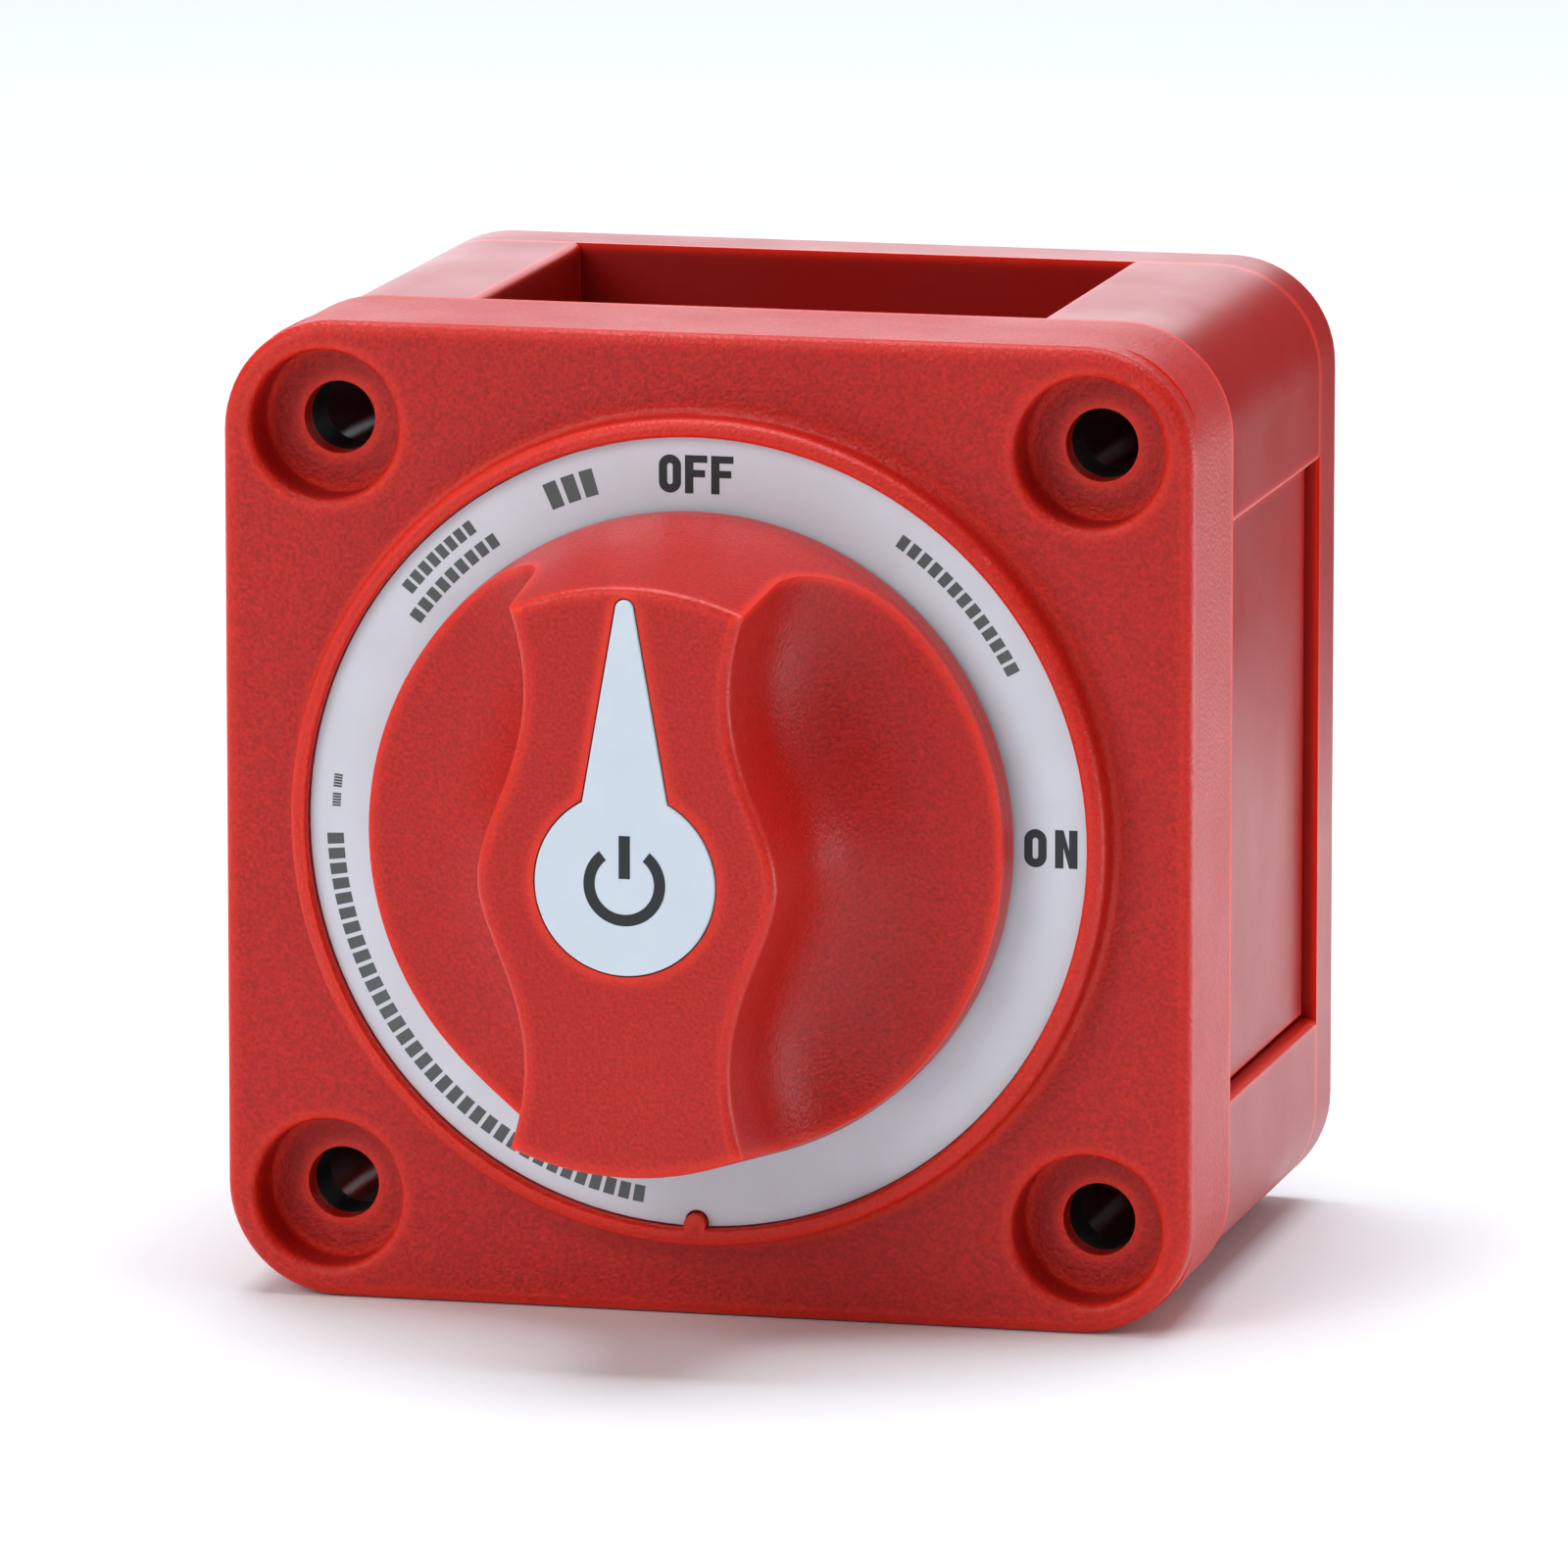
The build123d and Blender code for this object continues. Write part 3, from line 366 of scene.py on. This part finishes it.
# ---- Printed marks: position words, a plain scale and a power symbol ----
PRINT_HEIGHT = 0.02 * MM
ROUND_STEPS = 40
BAR_SHARE = 0.86  # thickness of an F's bars in strokes
MIDDLE_BAR_TOP = 0.12  # an F's middle bar, in letter heights above the middle
MIDDLE_BAR_INSET = 0.1  # and how much shorter it is, in letter widths
DIAGONAL_DROP = 0.46  # height of an N's diagonal where it meets a side


def extruded(outline_points, outline_faces, front, height):
    """A flat shape turned into a thin slab whose rear lies on front."""
    count = len(outline_points)
    points = [(x, front - height, z) for x, z in outline_points]
    points += [(x, front, z) for x, z in outline_points]
    faces = [tuple(face) for face in outline_faces]
    faces += [tuple(count + i for i in reversed(face)) for face in outline_faces]
    edges = {}
    for face in outline_faces:
        for a, b in zip(face, face[1:] + face[:1]):
            edges[(a, b)] = edges.get((a, b), 0) + 1
    for a, b in edges:
        if (b, a) not in edges:
            faces.append((b, a, a + count, b + count))
    return points, faces


def letter_o(width, height, stroke):
    """A condensed O: a band between two round-ended outlines."""
    outer = width / 2
    inner = outer - stroke
    rise = height / 2 - outer
    points, faces = [], []
    for k in range(ROUND_STEPS):
        angle = 2 * pi * (k + 0.5) / ROUND_STEPS
        shift = rise if sin(angle) > 0 else -rise
        for radius in (inner, outer):
            points.append((radius * cos(angle), radius * sin(angle) + shift))
    count = len(points)
    for k in range(0, count, 2):
        faces.append([k, k + 1, (k + 3) % count, (k + 2) % count])
    return points, faces


def letter_f(width, height, stroke):
    """A bold F as one outline."""
    left, right, top = -width / 2, width / 2, height / 2
    bar = BAR_SHARE * stroke
    middle_top = MIDDLE_BAR_TOP * height
    middle_right = right - MIDDLE_BAR_INSET * width
    points = [
        (left, -top),
        (left + stroke, -top),
        (left + stroke, middle_top - bar),
        (middle_right, middle_top - bar),
        (middle_right, middle_top),
        (left + stroke, middle_top),
        (left + stroke, top - bar),
        (right, top - bar),
        (right, top),
        (left, top),
    ]
    return points, [list(range(len(points)))]


def letter_n(width, height, stroke):
    """A bold N as one outline."""
    side, top = width / 2, height / 2
    drop = DIAGONAL_DROP * height
    points = [
        (-side, -top),
        (-side + stroke, -top),
        (-side + stroke, top - drop),
        (side - stroke, -top),
        (side, -top),
        (side, top),
        (side - stroke, top),
        (side - stroke, -top + drop),
        (-side + stroke, top),
        (-side, top),
    ]
    return points, [list(range(len(points)))]


def word(letters, centre, width, height, stroke, pitch):
    """Letters set side by side about a centre."""
    shapes = []
    for k, letter in enumerate(letters):
        points, faces = letter(width, height, stroke)
        x = centre[0] + (k - (len(letters) - 1) / 2) * pitch
        shapes.append(([(px + x, pz + centre[1]) for px, pz in points], faces))
    return join_shapes(shapes)


def arc_band(inner, outer, start, end, step=radians(1.0), centre=(0.0, 0.0)):
    """A band between two radii from start to end, as a flat shape; angles from +X towards +Z."""
    count = max(2, int(abs(end - start) / step) + 1)
    points, faces = [], []
    for k in range(count):
        angle = start + (end - start) * k / (count - 1)
        for radius in (inner, outer):
            points.append((centre[0] + radius * cos(angle), centre[1] + radius * sin(angle)))
    for k in range(count - 1):
        faces.append([2 * k, 2 * k + 1, 2 * k + 3, 2 * k + 2])
    return points, faces


def join_shapes(shapes):
    """Several flat shapes as one."""
    points, faces = [], []
    for shape_points, shape_faces in shapes:
        faces += [[i + len(points) for i in face] for face in shape_faces]
        points += shape_points
    return points, faces


def printed(name, shape, front, body, slot, material):
    """A flat shape printed on a forward-facing surface."""
    add_piece(name, *extruded(*shape, front, PRINT_HEIGHT), body, slot, material)


label_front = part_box("label_ring")[0].y
WORD_RADIUS = 25.4 * MM
CAP_HEIGHT = 2.7 * MM
LETTER_WIDTH = 1.6 * MM
STROKE = 0.6 * MM
OFF_PITCH = 1.88 * MM
ON_PITCH = 2.2 * MM
printed(
    "print_off",
    word(
        (letter_o, letter_f, letter_f), (0.0, WORD_RADIUS), LETTER_WIDTH, CAP_HEIGHT, STROKE, OFF_PITCH
    ),
    label_front, "housing", "label", "ink",
)
printed(
    "print_on",
    word((letter_o, letter_n), (WORD_RADIUS, 0.0), LETTER_WIDTH, CAP_HEIGHT, STROKE, ON_PITCH),
    label_front, "housing", "label", "ink",
)


DASH_GAP = 0.14  # half the gap between dashes, as a share of their pitch


def dash_row(radius, height, start, end, count):
    """Evenly spaced short dashes along an arc; angles in degrees."""
    pitch = (end - start) / count
    return join_shapes(
        arc_band(
            radius - height / 2,
            radius + height / 2,
            radians(start + pitch * (k + DASH_GAP)),
            radians(start + pitch * (k + 1 - DASH_GAP)),
        )
        for k in range(count)
    )


ROWS = (
    # name, radius in mm, height in mm, start and end angle, dashes
    ("print_scale_right", 25.8, 1.0, 28.0, 56.0, 13),
    ("print_scale_left_outer", 26.6, 1.0, 127.0, 142.0, 8),
    ("print_scale_left_inner", 24.9, 1.0, 125.0, 145.0, 9),
    ("print_scale_top", 25.7, 1.9, 106.0, 115.0, 3),
    ("print_scale_side_upper", 26.1, 0.6, 173.0, 175.2, 5),
    ("print_scale_side_lower", 26.1, 0.6, 176.0, 178.2, 5),
    ("print_scale_low", 26.2, 1.2, 182.0, 262.0, 34),
)
for row_name, radius, height, start, end, count in ROWS:
    printed(
        row_name, dash_row(radius * MM, height * MM, start, end, count),
        label_front, "housing", "label", "grey_ink",
    )

insert_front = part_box("pointer_insert")[0].y
SYMBOL_R = 2.9 * MM
SYMBOL_STROKE = 0.8 * MM
SYMBOL_GAP = 38.0  # half the opening of the ring, in degrees each side of straight up
BAR_FOOT, BAR_TOP = 0.4 * MM, 3.4 * MM
ring = arc_band(
    SYMBOL_R - SYMBOL_STROKE, SYMBOL_R,
    radians(90.0 + SYMBOL_GAP), radians(450.0 - SYMBOL_GAP), step=radians(3.0),
)
half = SYMBOL_STROKE / 2
bar = ([(-half, BAR_FOOT), (half, BAR_FOOT), (half, BAR_TOP), (-half, BAR_TOP)], [[0, 1, 2, 3]])
printed("print_power", join_shapes([ring, bar]), insert_front, "rotor", "label", "ink")

# ---- Studio ----
FLOOR_HALF = 4.0
FLOOR_GAP = 0.05 * MM  # keeps the floor from lying in the plane of the part's underside
PALE = (0.93, 0.93, 0.93)
COOL = (0.86, 0.93, 1.0)
WHITE = (1.0, 1.0, 1.0)
FLAG_TONE = 0.02


def staged_quad(name, corners, material):
    """A four-cornered stage piece."""
    mesh = bpy.data.meshes.new(name)
    mesh.from_pydata(corners, [], [(0, 1, 2, 3)])
    mesh.materials.append(material)
    card = bpy.data.objects.new(name, mesh)
    collection.objects.link(card)
    return card


def floor(name, half, height, colour):
    """A level, slightly uneven pale floor."""
    material = bpy.data.materials.new(name)
    material.use_nodes = True
    tree = material.node_tree
    shader = tree.nodes["Principled BSDF"]
    shader.inputs["Roughness"].default_value = 0.9
    shader.inputs["Specular IOR Level"].default_value = 0.2
    coords = add_node(tree, "ShaderNodeTexCoord").outputs["Object"]
    tone = mix(tree, noise(tree, coords, 3.0), colour, tuple(c * 0.985 for c in colour))
    tree.links.new(tone, shader.inputs["Base Color"])
    corners = [(-half, -half, height), (half, -half, height), (half, half, height), (-half, half, height)]
    staged_quad(name, corners, material)


def flag(name, low, high, tone):
    """A dark upright card behind the part that only its reflections show."""
    material = bpy.data.materials.new(name)
    material.use_nodes = True
    shader = material.node_tree.nodes["Principled BSDF"]
    shader.inputs["Base Color"].default_value = (tone, tone, tone, 1.0)
    shader.inputs["Roughness"].default_value = 1.0
    y = low[1]
    corners = [(low[0], y, low[2]), (high[0], y, low[2]), (high[0], y, high[2]), (low[0], y, high[2])]
    card = staged_quad(name, corners, material)
    card.visible_camera = False
    card.visible_diffuse = False
    card.visible_shadow = False


def softbox(name, location, target, width, height, power, colour=WHITE):
    """A large soft light that faces a point and isn't itself in the picture."""
    light = bpy.data.lights.new(name, "AREA")
    light.shape = "RECTANGLE"
    light.size, light.size_y = width, height
    light.energy = power
    light.color = colour
    lamp = bpy.data.objects.new(name, light)
    lamp.location = location
    direction = Vector(target) - Vector(location)
    lamp.rotation_mode = "QUATERNION"
    lamp.rotation_quaternion = direction.to_track_quat("-Z", "Y")
    lamp.visible_camera = False
    collection.objects.link(lamp)


ground = cad_box[0][2]
middle = [(a + b) / 2 for a, b in zip(*cad_box)]
floor("floor", FLOOR_HALF, ground - FLOOR_GAP, PALE)
softbox("key", (-0.55, -1.0, 0.60), middle, 0.7, 0.7, 6.4)
softbox("overhead", (0.0, 0.08, 1.0), middle, 0.9, 0.7, 11.5, COOL)
softbox("behind", (-0.3, 1.7, 0.42), middle, 2.4, 1.1, 15.0, COOL)
softbox("low_right", (0.26, 0.10, -0.03), middle, 0.30, 0.06, 0.6, COOL)
flag("flag_right", (0.03, 0.20, ground), (0.40, 0.20, 0.22), FLAG_TONE)

world = bpy.data.worlds.new("studio")
world.use_nodes = True
backdrop = world.node_tree.nodes["Background"]
backdrop.inputs["Color"].default_value = (0.95, 0.98, 1.0, 1.0)
backdrop.inputs["Strength"].default_value = 0.28
bpy.context.scene.world = world
bpy.context.scene.view_settings.view_transform = "Standard"

# ---- Camera ----
CAMERA_AT = Vector((0.2537, -1.06565, 0.18868))
AZIMUTH = radians(13.733)
ELEVATION = radians(10.061)
SENSOR_WIDTH = 36.0
FOCAL_LENGTH = 348.24
NEAR, FAR = 0.05, 30.0
camera_data = bpy.data.cameras.new("camera")
camera_data.sensor_width = SENSOR_WIDTH
camera_data.lens = FOCAL_LENGTH
camera_data.clip_start = NEAR
camera_data.clip_end = FAR
camera = bpy.data.objects.new("camera", camera_data)
collection.objects.link(camera)
backward = Vector(
    (sin(AZIMUTH) * cos(ELEVATION), -cos(AZIMUTH) * cos(ELEVATION), sin(ELEVATION))
)
rightward = Vector((0.0, 0.0, 1.0)).cross(backward).normalized()
upward = backward.cross(rightward)
orientation = Matrix((rightward, upward, backward)).transposed().to_4x4()
camera.matrix_world = Matrix.Translation(CAMERA_AT) @ orientation
bpy.context.scene.camera = camera

bpy.context.view_layer.update()
